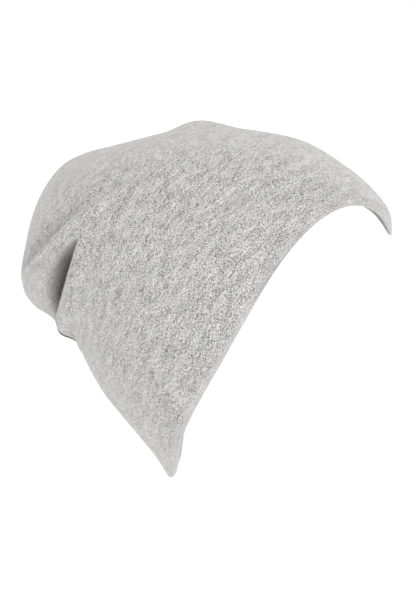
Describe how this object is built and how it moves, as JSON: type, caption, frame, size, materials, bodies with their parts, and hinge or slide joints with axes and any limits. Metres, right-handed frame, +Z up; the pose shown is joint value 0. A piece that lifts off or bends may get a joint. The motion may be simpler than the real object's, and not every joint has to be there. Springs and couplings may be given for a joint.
{
  "type": "slouchy beanie",
  "caption": "Soft knitted cap that covers the ears and nape, with its spare crown slumped behind the head.",
  "frame": {"origin": "middle of the head opening, halfway between the brow edge and the nape edge", "axes": "+Z up as worn, -Y towards the brow, +Y towards the slumped crown, -X towards the wearer's right ear"},
  "size_m": [0.1662, 0.2216, 0.2141],
  "materials": {
    "brushed_knit": "light grey melange knit, brushed to a short soft nap"
  },
  "bodies": {
    "root": {"beanie_shell": "brushed_knit"}
  },
  "joints": []
}
